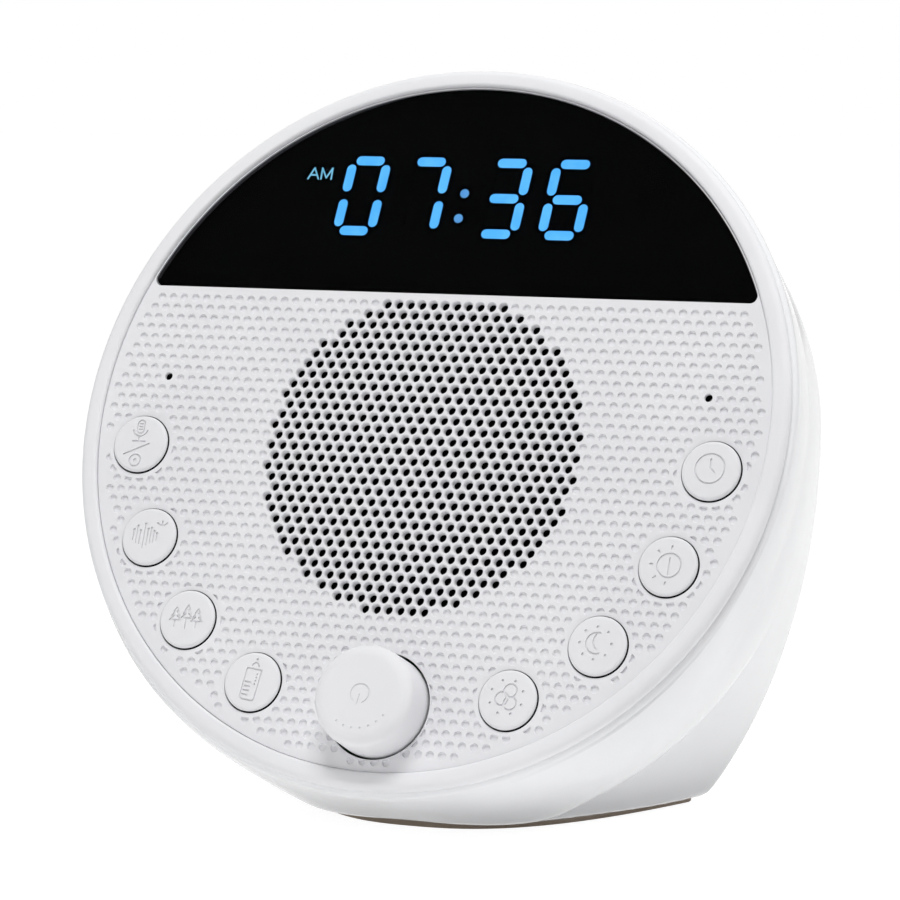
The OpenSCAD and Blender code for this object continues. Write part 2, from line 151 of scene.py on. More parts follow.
looks = {
    "shell_white": {"colour": (0.84, 0.845, 0.86), "shade": (0.82, 0.825, 0.842), "cloud": 14.0, "grain": 900.0,
                    "depth": 0.000004, "bump": 0.12, "rough": 0.1, "spread": 0.03, "fixed": {"IOR": 1.5}},
    "cover_white": {"colour": (0.8, 0.8, 0.82), "shade": (0.76, 0.76, 0.785), "grain": 3200.0, "depth": 0.00003,
                    "bump": 0.5, "rough": 0.46},
    "trim_white": {"colour": (0.81, 0.81, 0.83), "shade": (0.79, 0.79, 0.812), "grain": 3000.0, "depth": 0.000012,
                   "bump": 0.25, "rough": 0.36, "spread": 0.06},
    "panel_white": {"colour": (0.79, 0.79, 0.81), "shade": (0.765, 0.765, 0.787), "grain": 3600.0,
                    "depth": 0.00002, "bump": 0.35, "rough": 0.5, "spread": 0.08},
    "key_white": {"colour": (0.79, 0.79, 0.808), "shade": (0.77, 0.77, 0.79), "grain": 3000.0, "depth": 0.00001,
                  "bump": 0.22, "rough": 0.38, "spread": 0.06},
    "knob_white": {"colour": (0.8, 0.8, 0.818), "shade": (0.78, 0.78, 0.8), "grain": 3000.0, "depth": 0.00001,
                   "bump": 0.22, "rough": 0.36, "spread": 0.06},
    "lens_black": {"colour": (0.3, 0.3, 0.32), "shade": (0.28, 0.28, 0.3), "grain": 400.0, "depth": 0.000001,
                   "bump": 0.02, "rough": 0.03, "spread": 0.01,
                   "fixed": {"Transmission Weight": 1.0, "IOR": 1.08}},
    "display_black": {"colour": (0.004, 0.004, 0.005), "shade": (0.008, 0.008, 0.009), "rough": 0.6},
    "segments_dark": {"colour": (0.003, 0.003, 0.0035), "shade": (0.004, 0.004, 0.0045), "rough": 0.5,
                      "fixed": {"Specular IOR Level": 0.08}},
    "switch_grey": {"colour": (0.5, 0.5, 0.52), "shade": (0.36, 0.36, 0.38), "rough": 0.3, "metal": 1.0,
                    "stretch": (1.0, 1.0, 14.0), "grain": 900.0},
    "steel": {"colour": (0.56, 0.56, 0.58), "shade": (0.42, 0.42, 0.44), "rough": 0.28, "metal": 1.0,
              "grain": 1800.0, "stretch": (1.0, 9.0, 1.0)},
    "zinc": {"colour": (0.5, 0.51, 0.53), "shade": (0.38, 0.39, 0.41), "rough": 0.4, "metal": 1.0, "grain": 1500.0},
    "speaker_steel": {"colour": (0.02, 0.02, 0.021), "shade": (0.03, 0.03, 0.031), "rough": 0.5, "bump": 0.5},
    "ferrite": {"colour": (0.05, 0.05, 0.053), "shade": (0.03, 0.03, 0.032), "rough": 0.7, "bump": 0.8},
    "copper": {"colour": (0.6, 0.26, 0.1), "shade": (0.45, 0.17, 0.06), "rough": 0.3, "metal": 1.0,
               "grain": 1200.0, "stretch": (1.0, 12.0, 1.0)},
    "pin_brass": {"colour": (0.72, 0.6, 0.36), "shade": (0.6, 0.48, 0.27), "rough": 0.22, "metal": 1.0},
    "board_green": {"colour": (0.012, 0.085, 0.035), "shade": (0.03, 0.15, 0.06), "rough": 0.35,
                    "pattern": "traces", "grain": 1200.0},
    "black_plastic": {"colour": (0.014, 0.014, 0.015), "shade": (0.022, 0.022, 0.023), "rough": 0.5},
    "black_rubber": {"colour": (0.018, 0.018, 0.018), "shade": (0.03, 0.03, 0.03), "rough": 0.75, "bump": 0.6},
    "cone_paper": {"colour": (0.018, 0.018, 0.019), "shade": (0.03, 0.03, 0.031), "rough": 0.85, "bump": 0.9,
                   "grain": 1400.0, "depth": 0.00006},
    "spider_cloth": {"colour": (0.5, 0.32, 0.12), "shade": (0.36, 0.22, 0.07), "rough": 0.8, "pattern": "weave",
                     "bump": 0.9},
    "strip_white": {"colour": (0.74, 0.74, 0.72), "shade": (0.66, 0.66, 0.64), "rough": 0.4, "pattern": "traces"},
    "led_amber": {"colour": (0.85, 0.68, 0.16), "shade": (0.7, 0.5, 0.1), "rough": 0.2, "coat": 0.5},
    "ribbon_grey": {"colour": (0.32, 0.32, 0.34), "shade": (0.2, 0.2, 0.21), "rough": 0.45,
                    "stretch": (60.0, 0.2, 0.2), "cloud": 25.0},
    "wire_red": {"colour": (0.4, 0.02, 0.015), "shade": (0.28, 0.012, 0.01), "rough": 0.4},
    "pad_rubber": {"colour": (0.56, 0.46, 0.37), "shade": (0.47, 0.38, 0.3), "rough": 0.7, "bump": 0.7,
                   "grain": 1600.0, "depth": 0.00005},
    # black of the print on the lens's back, and painted shade on the panel's hole walls, gaps and lens recess and on
    # the keys' lower sides
    "print_and_painted_shade_black": {"colour": (0.003, 0.003, 0.0035), "shade": (0.004, 0.004, 0.0045), "rough": 0.5,
                    "fixed": {"Specular IOR Level": 0.08}},
}


def makeFinish(name):
    look = {**plainLook, **looks[name]}
    material = bpy.data.materials.new(name)
    tree = NodeTree(material)
    place = tree.node("ShaderNodeTexCoord", {}, {}, "Object")
    drawn = tree.scaled(place, look["stretch"])
    cloud = tree.noise(drawn, look["cloud"], 3.0)
    grain = tree.noise(drawn, look["grain"])
    tone = tree.smooth(cloud, 0.35, 0.65)
    if look["pattern"] == "traces":
        cells = tree.node("ShaderNodeTexVoronoi", {"feature": "DISTANCE_TO_EDGE", "distance": "MANHATTAN"},
                          {"Vector": place, "Scale": 260.0}, "Distance")
        tone = 1 - tree.smooth(cells, 0.02, 0.09)
    if look["pattern"] == "weave":
        threads = tree.node("ShaderNodeTexWave", {"wave_type": "BANDS"}, {"Vector": place, "Scale": 500.0}, "Color")
        tone = tree.smooth(threads, 0.3, 0.7)
    colour = tree.mixColour(tone, look["colour"] + (1,), look["shade"] + (1,))
    rough = look["rough"] + (grain - 0.5) * look["spread"]
    bump = tree.node("ShaderNodeBump", {}, {"Strength": look["bump"], "Distance": look["depth"], "Height": grain})
    shader = tree.node("ShaderNodeBsdfPrincipled", {}, {
        "Base Color": colour, "Roughness": rough, "Metallic": look["metal"], "Coat Weight": look["coat"],
        "Normal": bump, **look["fixed"]})
    tree.node("ShaderNodeOutputMaterial", {}, {"Surface": shader})
    return material


glowLook = {"colour": (0.088, 0.39, 0.8), "edge": (0.07, 0.355, 0.76), "strength": 4.3}
faintLook = {"colour": (0.085, 0.28, 0.56), "edge": (0.07, 0.24, 0.5), "strength": 3.9}
letterLook = {"colour": (0.19, 0.52, 0.7), "edge": (0.15, 0.46, 0.64), "strength": 3.3}


def makeGlow(name, look):
    material = bpy.data.materials.new(name)
    tree = NodeTree(material)
    place = tree.node("ShaderNodeTexCoord", {}, {}, "Object")
    tone = tree.smooth(tree.noise(place, 300.0), 0.4, 0.6)
    light = tree.mixColour(tone, look["colour"] + (1,), look["edge"] + (1,))
    shader = tree.node("ShaderNodeBsdfPrincipled", {}, {
        "Base Color": light, "Roughness": 0.5, "Emission Color": light, "Emission Strength": look["strength"]})
    tree.node("ShaderNodeOutputMaterial", {}, {"Surface": shader})
    return material


finishes = {name: makeFinish(name) for name in looks}
finishes["segments_lit"] = makeGlow("segments_lit", glowLook)
finishes["colon_lit"] = makeGlow("colon_lit", faintLook)
finishes["letters_lit"] = makeGlow("letters_lit", letterLook)
slotOf = {part["node"]: part["material_slot"] for part in frame["record"]["subparts"]}
bodyOf = {node: body for body, nodes in frame["record"]["behaviour"]["bodies"].items() for node in nodes}
for node, thing in frame["nodes"].items():
    thing.data.materials.clear()
    thing.data.materials.append(finishes[slotOf[node]])
print("finishes:", len(finishes))


# ---- mesh helpers

def makePiece(name, points, faces, node, finish=None, sharp=35, looseFinish=None):
    # points are millimetres in the row frame; looseFinish is a second finish and the test, on face
    # coordinates, of the centres of the faces that take it
    mesh = bpy.data.meshes.new(name)
    mesh.from_pydata([tuple(p) for p in np.asarray(points) * 0.001], [], [tuple(int(i) for i in f) for f in faces])
    work = bmesh.new()
    work.from_mesh(mesh)
    bmesh.ops.remove_doubles(work, verts=work.verts, dist=1e-7)
    bmesh.ops.delete(work, geom=[v for v in work.verts if not v.link_faces], context="VERTS")
    bmesh.ops.recalc_face_normals(work, faces=work.faces)
    work.to_mesh(mesh)
    work.free()
    mesh.polygons.foreach_set("use_smooth", [True] * len(mesh.polygons))
    mesh.set_sharp_from_angle(angle=math.radians(sharp))
    thing = bpy.data.objects.new(name, mesh)
    bpy.context.scene.collection.objects.link(thing)
    mesh.materials.append(finishes[finish or slotOf[node]])
    if looseFinish:
        mesh.materials.append(finishes[looseFinish[0]])
        for face in mesh.polygons:
            if looseFinish[1](toFace(np.array(face.center) * 1000)[0]):
                face.material_index = 1
    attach(thing, bodyOf[node])
    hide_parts(node)
    print("piece:", name, len(mesh.polygons), "faces")


def circle(x, y, radius, count):
    return [(x + radius * math.cos(2 * math.pi * i / count), y + radius * math.sin(2 * math.pi * i / count))
            for i in range(count)]


def arc(x, y, radius, start, end, count):
    turns = [math.radians(start + (end - start) * i / count) for i in range(count + 1)]
    return [(x + radius * math.cos(t), y + radius * math.sin(t)) for t in turns]


class Solid:
    # collects points and faces in face coordinates
    def __init__(self):
        self.points = []
        self.faces = []

    def ring(self, points):
        first = len(self.points)
        self.points += [tuple(p) for p in points]
        return list(range(first, first + len(points)))

    def band(self, one, two):
        for i in range(len(one)):
            j = (i + 1) % len(one)
            self.faces.append((one[i], one[j], two[j], two[i]))

    def turned(self, profile, x, y, count, closeEnds=False):
        # profile of (radius, z); a zero radius at an end closes the solid there
        rings = []
        for radius, z in profile:
            if radius > 1e-6:
                rings.append(self.ring([(px, py, z) for px, py in circle(x, y, radius, count)]))
            else:
                rings.append(self.ring([(x, y, z)]))
        for one, two in zip(rings, rings[1:] + (rings[:1] if closeEnds else [])):
            if len(one) == 1 or len(two) == 1:
                tip, rim = (one[0], two) if len(one) == 1 else (two[0], one)
                self.faces += [(rim[i], rim[(i + 1) % len(rim)], tip) for i in range(len(rim))]
            else:
                self.band(one, two)

    def sheet(self, outline, openings, z):
        # a flat sheet of triangles inside the outline and outside every opening
        flat, faces, owners = splitFlat([outline] + openings)
        first = len(self.points)
        self.points += [(p.x, p.y, z) for p in flat]
        self.faces += [tuple(first + i for i in face) for face, own in zip(faces, owners) if own == {0}]

    def engraved(self, outline, strokes, z, depth):
        # a flat sheet whose strokes are sunk by the depth
        flat, faces, owners = splitFlat([outline] + strokes)
        first = len(self.points)
        count = len(flat)
        self.points += [(p.x, p.y, z) for p in flat] + [(p.x, p.y, z - depth) for p in flat]
        sides = {}
        for face, own in zip(faces, owners):
            if 0 not in own:
                continue
            sunk = len(own) > 1
            self.faces.append(tuple(first + i + (count if sunk else 0) for i in face))
            for a, b in zip(face, face[1:] + face[:1]):
                sides[(a, b)] = sunk
        for (a, b), sunk in sides.items():
            if sunk and sides.get((b, a)) is False:
                self.faces.append((first + a, first + b, first + b + count, first + a + count))

    def inlaid(self, strokes, z, thick):
        # thin flat bodies in the shape of the joined strokes
        flat, faces, owners = splitFlat(strokes)
        first = len(self.points)
        count = len(flat)
        self.points += [(p.x, p.y, z) for p in flat] + [(p.x, p.y, z - thick) for p in flat]
        sides = set()
        for face, own in zip(faces, owners):
            if own:
                self.faces.append(tuple(first + i for i in face))
                self.faces.append(tuple(first + i + count for i in face[::-1]))
                sides.update(zip(face, face[1:] + face[:1]))
        for a, b in sides:
            if (b, a) not in sides:
                self.faces.append((first + a, first + b, first + b + count, first + a + count))

    def piece(self, name, node, **more):
        return makePiece(name, fromFace(self.points), self.faces, node, **more)


def splitFlat(loops):
    # triangles of the overlaid loops, each with the loops that hold it
    points, polygons = [], []
    for loop in loops:
        polygons.append(list(range(len(points), len(points) + len(loop))))
        points += [Vector(p) for p in loop]
    flat, _, faces, _, _, owners = delaunay_2d_cdt(points, [], polygons, 1, 1e-5, True)
    return flat, [tuple(f) for f in faces], [set(own) for own in owners]


def stroke(points, width, caps=4):
    # outline of a round-ended line of even width through the points
    path = [np.array(p, float) for p in points]
    half = width / 2
    left, right = [], []
    for i, p in enumerate(path):
        before = path[max(i - 1, 0)]
        after = path[min(i + 1, len(path) - 1)]
        along = (after - before) / np.linalg.norm(after - before)
        side = np.array([-along[1], along[0]]) * half
        left.append(tuple(p + side))
        right.append(tuple(p - side))

    def cap(centre, start):
        return [(centre[0] + half * math.cos(start + math.pi * i / (caps + 1)),
                 centre[1] + half * math.sin(start + math.pi * i / (caps + 1))) for i in range(1, caps + 1)]

    heading = math.atan2(path[-1][1] - path[-2][1], path[-1][0] - path[-2][0])
    tail = math.atan2(path[1][1] - path[0][1], path[1][0] - path[0][0])
    return right + cap(path[-1], heading - math.pi / 2) + left[::-1] + cap(path[0], tail + math.pi / 2)


def ringStrokes(x, y, radius, width, start=0, end=360):
    # arcs of at most 120 degrees, so that every outline stays simple
    parts = max(1, math.ceil((end - start) / 120))
    step = (end - start) / parts
    return [stroke(arc(x, y, radius, start + step * i, start + step * (i + 1), 10), width) for i in range(parts)]


def rotated(loops, angle):
    c, s = math.cos(math.radians(angle)), math.sin(math.radians(angle))
    return [[(c * x - s * y, s * x + c * y) for x, y in loop] for loop in loops]


def moved(loops, x, y):
    return [[(px + x, py + y) for px, py in loop] for loop in loops]


# ---- camera and stage

cameraSet = {"azimuth": 22.8, "elevation": 6.373, "distance": 711.6, "aim": (4.73, -3.0, 65.28), "lens": 164.94}


def makeCamera():
    data = bpy.data.cameras.new("camera")
    data.lens = cameraSet["lens"]
    data.sensor_width = 36
    camera = bpy.data.objects.new("camera", data)
    bpy.context.scene.collection.objects.link(camera)
    a, e = math.radians(cameraSet["azimuth"]), math.radians(cameraSet["elevation"])
    back = Vector((math.sin(a) * math.cos(e), -math.cos(a) * math.cos(e), math.sin(e)))
    camera.location = (Vector(cameraSet["aim"]) + back * cameraSet["distance"]) * 0.001
    camera.rotation_euler = back.to_track_quat("Z", "Y").to_euler()
    bpy.context.scene.camera = camera


# place and size in metres, power in watts; a lamp with a turn lies on the floor and faces up
lampSet = {
    "overhead": {"place": (0.12, -0.3, 1.0), "size": (0.45, 0.35), "power": 6.5},
    "front": {"place": (-0.75, -0.95, 0.45), "size": (0.6, 0.6), "power": 1.7},
    "side": {"place": (0.9, 0.3, 0.75), "size": (0.35, 0.7), "power": 3.3},
    "floorRight": {"place": (0.083, 0.021, 0.002), "size": (0.2, 0.06), "power": 0.006, "turn": 60.3},
    "floorFront": {"place": (-0.06, -0.09, 0.002), "size": (0.22, 0.11), "power": 0.019, "turn": 0.0},
    "floorLeft": {"place": (-0.19, -0.04, 0.002), "size": (0.2, 0.2), "power": 0.012, "turn": 0.0},
}
stageSet = {"worldLight": 0.31, "mirrorLight": 0.65, "floorColour": (0.86, 0.86, 0.86, 1), "floorReach": 3.0,
            "shadowShare": 0.25, "glow": 1.25, "lampAim": (0, 0, 0.07)}


def grey(level):
    return (level, level, level, 1)


def seenDirectly(tree):
    ray = tree.node("ShaderNodeLightPath", {}, {}, "Is Camera Ray")
    gloss = tree.node("ShaderNodeLightPath", {}, {}, "Is Glossy Ray")
    clear = tree.node("ShaderNodeLightPath", {}, {}, "Is Transmission Ray")
    return (ray + gloss + clear) > 0.5


def makeStage():
    for name, lamp in lampSet.items():
        data = bpy.data.lights.new(name, "AREA")
        data.shape = "RECTANGLE"
        data.size, data.size_y = lamp["size"]
        data.energy = lamp["power"]
        thing = bpy.data.objects.new(name, data)
        bpy.context.scene.collection.objects.link(thing)
        thing.location = lamp["place"]
        thing.visible_camera = False
        if "turn" in lamp:
            thing.rotation_euler = (math.pi, 0, math.radians(lamp["turn"]))
        else:
            thing.visible_glossy = False
            away = Vector(lamp["place"]) - Vector(stageSet["lampAim"])
            thing.rotation_euler = away.to_track_quat("Z", "Y").to_euler()
    world = bpy.data.worlds.new("studio")
    bpy.context.scene.world = world
    tree = NodeTree(world)
    colour = tree.mixColour(seenDirectly(tree), grey(stageSet["worldLight"]), grey(1))
    mirrored = tree.node("ShaderNodeLightPath", {}, {}, "Is Glossy Ray")
    colour = tree.mixColour(mirrored, colour, grey(stageSet["mirrorLight"]))
    sky = tree.node("ShaderNodeBackground", {}, {"Color": colour, "Strength": 1.0})
    tree.node("ShaderNodeOutputWorld", {}, {"Surface": sky})
    reach = stageSet["floorReach"]
    mesh = bpy.data.meshes.new("floor")
    corners = [(-reach, -reach, 0), (reach, -reach, 0), (reach, reach, 0), (-reach, reach, 0)]
    mesh.from_pydata(corners, [], [(0, 1, 2, 3)])
    floor = bpy.data.objects.new("floor", mesh)
    bpy.context.scene.collection.objects.link(floor)
    material = bpy.data.materials.new("floor_white")
    tree = NodeTree(material)
    dull = tree.node("ShaderNodeBsdfDiffuse", {}, {"Color": stageSet["floorColour"]})
    glow = tree.node("ShaderNodeEmission", {}, {"Color": grey(1), "Strength": stageSet["glow"]})
    share = seenDirectly(tree) * (1 - stageSet["shadowShare"])
    surface = tree.node("ShaderNodeMixShader", {}, {0: share, 1: dull, 2: glow})
    tree.node("ShaderNodeOutputMaterial", {}, {"Surface": surface})
    mesh.materials.append(material)
    bpy.context.scene.view_settings.view_transform = "Standard"


makeCamera()
makeStage()
print("camera, lamps and floor")


# ---- shell

shellSet = {
    "radius": 66.3, "rimFrom": -1.4, "rimTo": -9.6, "rimRound": 1.15,
    "rearBehind": 36.3, "rearStart": 3.0, "rearLevel": 67.4, "rearHalf": 61.0, "rearUp": 58.6,
    "rearDown": 89.3, "rearPower": 1.94, "rearReach": -85.5,
    "edgeRadius": 3.0, "wall": 2.5, "opening": 4.1, "padHeight": 0.9, "blend": 1.2, "footBlend": 1.6,
    "rimBlend": 2.5, "rimBlendFrom": 3.0, "rimBlendTo": 14.0,
    "belly": 2.3, "bellyTurn": -53.0, "bellySpread": 20.0, "bellyFrom": 0.8, "bellyTo": 28.0,
    "around": 264, "along": 110, "centre": (0.0, 8.0, 62.0),
    "turnStep": 1.25, "tiltReach": 1.4, "samples": 150, "legLength": 90.0, "legBend": 1.6, "lipSteps": 6,
}
rearPlane = faceCentre[1] + shellSet["rearBehind"]


def rearOutline(inset, low, count=400):
    # x and z from the lower right corner over the top to the lower left one
    s = shellSet
    up = np.linspace(90, 0, count)[:-1]
    x = (s["rearHalf"] - inset) * np.cos(np.radians(up))
    z = (s["rearUp"] - inset) * np.sin(np.radians(up))
    zDown = np.linspace(0, low, count)
    power = s["rearPower"]
    xDown = (s["rearHalf"] - inset) * (1 - (-zDown / (s["rearDown"] - inset)) ** power) ** (1 / power)
    half = np.c_[np.r_[x, xDown], np.r_[z, zDown] + s["rearLevel"]]
    return np.r_[half[::-1], half * (-1, 1)]


class Form:
    # signed distance to the shell: planes that touch its front discs and its rear outline, a foot, a back
    def __init__(self):
        s = shellSet
        rear = rearOutline(0.0, s["rearReach"])
        rear = np.c_[rear[:, 0], np.full(len(rear), rearPlane - s["rearStart"]), rear[:, 1]]
        discs = [faceCentre + faceOut * s["rimFrom"], faceCentre + faceOut * s["rimTo"]]

        def reachOfDisc(n, disc):
            return n @ disc + s["radius"] * np.sqrt(np.maximum(0, 1 - (n @ faceOut) ** 2))

        def reachOfRear(n):
            return (n @ rear.T).max(1)

        self.families = []
        turn = np.radians(np.arange(0, 360, s["turnStep"]))
        for disc in discs:
            # halves the span of tilts until the plane touches both the disc and the rear outline
            low, high = np.full(len(turn), -s["tiltReach"]), np.full(len(turn), s["tiltReach"])
            for _ in range(40):
                tilt = (low + high) / 2
                n = np.c_[np.cos(tilt) * np.cos(turn), -np.sin(tilt), np.cos(tilt) * np.sin(turn)]
                more = reachOfRear(n) > reachOfDisc(n, disc)
                low, high = np.where(more, tilt, low), np.where(more, high, tilt)
            reach = np.maximum(reachOfRear(n), np.maximum(reachOfDisc(n, discs[0]), reachOfDisc(n, discs[1])))
            self.families.append((n, reach))
        n = np.cos(turn)[:, None] * faceRight + np.sin(turn)[:, None] * faceUp
        reach = reachOfDisc(n, discs[0])
        keep = reach >= reachOfRear(n)
        self.families.append((n, np.where(keep, reach, 1e3)))

    @staticmethod
    def peak(values):
        # highest of the samples, refined by a parabola through its neighbours
        rows = np.arange(len(values))
        at = values.argmax(1)
        mid = values[rows, at]
        left, right = values[rows, at - 1], values[rows, (at + 1) % values.shape[1]]
        bend = left - 2 * mid + right
        fine = (left > -900) & (right > -900) & (bend < -1e-9)
        return np.where(fine, mid - (left - right) ** 2 / (8 * np.where(fine, bend, -1)), mid)

    @staticmethod
    def joined(a, b, width):
        overlap = np.maximum(width - np.abs(a - b), 0) / width
        return np.maximum(a, b) + overlap ** 2 * width / 4

    @staticmethod
    def belly(p):
        # how far the flank swells past the straight lines from the rim to the rear edge
        s = shellSet
        local = toFace(p)
        turn = np.degrees(np.arctan2(local[:, 1], np.abs(local[:, 0])))
        along = np.clip((-local[:, 2] - s["bellyFrom"]) / (s["bellyTo"] - s["bellyFrom"]), 0, 1)
        return s["belly"] * np.exp(-((turn - s["bellyTurn"]) / s["bellySpread"]) ** 2) * np.sin(np.pi * along) ** 0.7

    def distance(self, p):
        # the join with the rim's cylinder gets wider away from the face
        s = shellSet
        parts = [self.peak(p @ n.T - reach) for n, reach in self.families]
        depth = -toFace(p)[:, 2]
        share = np.clip((depth - s["rimBlendFrom"]) / (s["rimBlendTo"] - s["rimBlendFrom"]), 0, 1)
        body = self.joined(parts[0], parts[1], s["blend"])
        body = self.joined(body, parts[2], s["blend"] + s["rimBlend"] * share) - self.belly(p)
        body = self.joined(body, s["padHeight"] - p[:, 2], s["footBlend"])
        back = p[:, 1] - rearPlane
        r = s["edgeRadius"]
        corner = np.sqrt(np.maximum(body + r, 0) ** 2 + np.maximum(back + r, 0) ** 2)
        return np.minimum(np.maximum(body, back), -r) + corner

    def hit(self, start, rays):
        # where each ray leaves the shell, by false position
        near, far = np.zeros(len(rays)), np.full(len(rays), 150.0)
        fNear = self.distance(start + rays * near[:, None])
        fFar = self.distance(start + rays * far[:, None])
        for _ in range(11):
            at = far - fFar * (far - near) / (fFar - fNear)
            value = self.distance(start + rays * at[:, None])
            inside = value < 0
            fFar = np.where(inside, fFar * 0.5, value)
            fNear = np.where(inside, value, fNear * 0.5)
            far, near = np.where(inside, far, at), np.where(inside, at, near)
        return start + rays * at[:, None]


def evenPath(path, weights, count):
    # values at even steps of the summed weights, one row for each path
    total = np.concatenate([np.zeros((len(weights), 1)), np.cumsum(weights, 1)], 1)
    return np.array([np.interp(np.linspace(0, row[-1], count), row, path) for row in total])


def makeShell():
    s = shellSet
    form = Form()
    centre = np.array(s["centre"])
    low = s["padHeight"] + s["opening"] - s["rearLevel"]
    outline = rearOutline(s["opening"], low)
    # even steps along the opening, with its two lower corners kept
    legs = np.linalg.norm(np.diff(outline, axis=0), axis=1)
    run = np.r_[0, np.cumsum(legs)]
    floorSteps = s["around"] // 6
    arch = np.linspace(0, run[-1], s["around"] - floorSteps + 1)
    rearXz = np.c_[np.interp(arch, run, outline[:, 0]), np.interp(arch, run, outline[:, 1])]
    across = np.linspace(0, 1, floorSteps + 1)[1:-1, None]
    rearXz = np.r_[rearXz, rearXz[-1] + (rearXz[0] - rearXz[-1]) * across]
    angle = np.arctan2(rearXz[:, 1] - s["rearLevel"], rearXz[:, 0])
    rear = np.c_[rearXz[:, 0], np.full(len(rearXz), rearPlane), rearXz[:, 1]]
    # back to the surface where the round rear edge reaches past the opening
    for _ in range(12):
        rear[:, 1] -= form.distance(rear)

    def rimRing(radius, z):
        return fromFace(np.c_[radius * np.cos(angle), radius * np.sin(angle), np.full(len(angle), z)])

    rim = rimRing(s["radius"], s["rimFrom"] - s["rimRound"])
    start, end = rim - centre, rear - centre
    start /= np.linalg.norm(start, axis=1)[:, None]
    end /= np.linalg.norm(end, axis=1)[:, None]
    spread = np.arccos((start * end).sum(1))[:, None, None]

    def rays(t):
        t = t[:, :, None]
        return (np.sin((1 - t) * spread) * start[:, None] + np.sin(t * spread) * end[:, None]) / np.sin(spread)

    def surface(t):
        return form.hit(centre, rays(t).reshape(-1, 3)).reshape(t.shape + (3,))

    coarse = np.linspace(0, 1, s["samples"])
    sample = surface(np.tile(coarse, (len(rear), 1)))
    legs = np.diff(sample, axis=1)
    length = np.linalg.norm(legs, axis=2)
    along = legs / length[:, :, None]
    bend = np.arccos(np.clip((along[:, 1:] * along[:, :-1]).sum(2), -1, 1))
    bend = np.c_[bend[:, :1], (bend[:, 1:] + bend[:, :-1]) / 2, bend[:, -1:]]
    weights = length / s["legLength"] + bend / s["legBend"]
    smoothed = sum(np.roll(weights, k, 0) for k in range(-4, 5)) / 9
    t = evenPath(coarse, smoothed, s["along"])
    outer = surface(t)
    outer[:, 0], outer[:, -1] = rim, rear
    alongU = np.roll(outer, -1, 0) - np.roll(outer, 1, 0)
    alongV = np.gradient(outer, axis=1)
    normal = np.cross(alongV, alongU)
    normal /= np.linalg.norm(normal, axis=2)[:, :, None]
    normal *= np.sign((normal * (outer - centre)).sum(2))[:, :, None]
    normal[:, -2:] = (0.0, 1.0, 0.0)
    inner = outer - normal * s["wall"]
    inner[:, :, 1] = np.minimum(inner[:, :, 1], rear[:, None, 1] - s["wall"])
    inner[:, -1] = rear - (0, s["wall"], 0)
    inner[:, 0] = rimRing(s["radius"] - s["wall"], s["rimFrom"])
    # the round front edge, from the seat under the trim ring out to the side
    edge = arc(s["radius"] - s["rimRound"], s["rimFrom"] - s["rimRound"], s["rimRound"], 90, 0, s["lipSteps"])
    lip = np.stack([rimRing(r, z) for r, z in edge[:-1]], 1)
    grid = np.concatenate([lip, outer, inner[:, ::-1]], 1)
    rows, columns = grid.shape[:2]
    index = np.arange(rows * columns).reshape(rows, columns)
    right, down = np.roll(index, -1, 0), np.roll(index, -1, 1)
    faces = np.stack([index, right, np.roll(right, -1, 1), down], 2).reshape(-1, 4)
    makePiece("shell", grid.reshape(-1, 3), faces, "main_shell", sharp=50)


makeShell()


# ---- base pad

padSet = {"halfWidth": 37.4, "front": -6.1, "behind": 3, "power": 2.5, "edge": 0.3, "top": 2.0, "steps": 60}


def makePad():
    s = padSet
    stop = rearPlane - s["behind"]

    def ring(inset, z):
        # a blunt parabola, cut off square at the back
        width, front = s["halfWidth"] - inset, faceCentre[1] + s["front"] + inset
        x = np.linspace(0, 1, s["steps"]) * width
        half = np.c_[x, front + (stop - inset - front) * (x / width) ** s["power"]]
        whole = np.r_[half, (half[1:] * (-1, 1))[::-1]]
        return np.c_[whole, np.full(len(whole), z)]

    rings = [ring(s["edge"], 0.0), ring(0.0, s["edge"]), ring(0.0, s["top"])]
    count = len(rings[0])
    faces = [tuple(range(count)), tuple(range(3 * count - 1, 2 * count - 1, -1))]
    for k in range(2):
        faces += [(k * count + i, k * count + (i + 1) % count, (k + 1) * count + (i + 1) % count, (k + 1) * count + i)
                  for i in range(count)]
    makePiece("foot_pad", np.concatenate(rings), faces, "base_pad")


makePad()


# ---- trim ring

bezelSet = {"outer": 65.65, "inner": 62.5, "crown": 0.8, "outerRound": 1.45, "innerRound": 0.6,
            "under": -32, "joint": -1.39, "seat": 63.7, "crownFrom": 1.4, "crownDrop": 0.03, "lip": 0.3,
            "foot": -4.0, "tongue": (60.7, -2.4), "steps": 288}


def makeBezel():
    s = bezelSet
    top = s["crown"]
    ledge, ledgeZ = s["tongue"]
    profile = [(s["inner"], ledgeZ)]
    profile += arc(s["inner"] + s["innerRound"], top - s["innerRound"], s["innerRound"], 180, 90, 6)
    profile += [(s["inner"] + s["crownFrom"], top + s["crownDrop"])]
    profile += arc(s["outer"] - s["outerRound"], top - s["outerRound"], s["outerRound"], 90, s["under"], 12)
    profile += [(profile[-1][0] - s["lip"], s["joint"]), (s["seat"], s["joint"]), (s["seat"], s["foot"]),
                (ledge, s["foot"]), (ledge, ledgeZ)]
    solid = Solid()
    solid.turned(profile, 0, 0, s["steps"], closeEnds=True)
    solid.piece("trim_ring", "bezel_ring")


makeBezel()


# ---- lens and what shows through it

lensSet = {"radius": 62.0, "lower": 23.6, "fillet": 1.3, "front": -0.05, "thick": 1.3, "edge": 0.12, "gap": 0.15,
           "print": -1.5, "printThick": 0.08, "printInset": 0.08}


def lensOutline(grow):
    s = lensSet
    radius, low, f = s["radius"] + grow, s["lower"] - grow, s["fillet"]
    cy = low + f
    cx = math.sqrt((radius - f) ** 2 - cy ** 2)
    turn = math.degrees(math.atan2(cy, cx))
    return (arc(cx, cy, f, -90, turn, 8) + arc(0, 0, radius, turn, 180 - turn, 150)[1:-1]
            + arc(-cx, cy, f, 180 - turn, 270, 8))


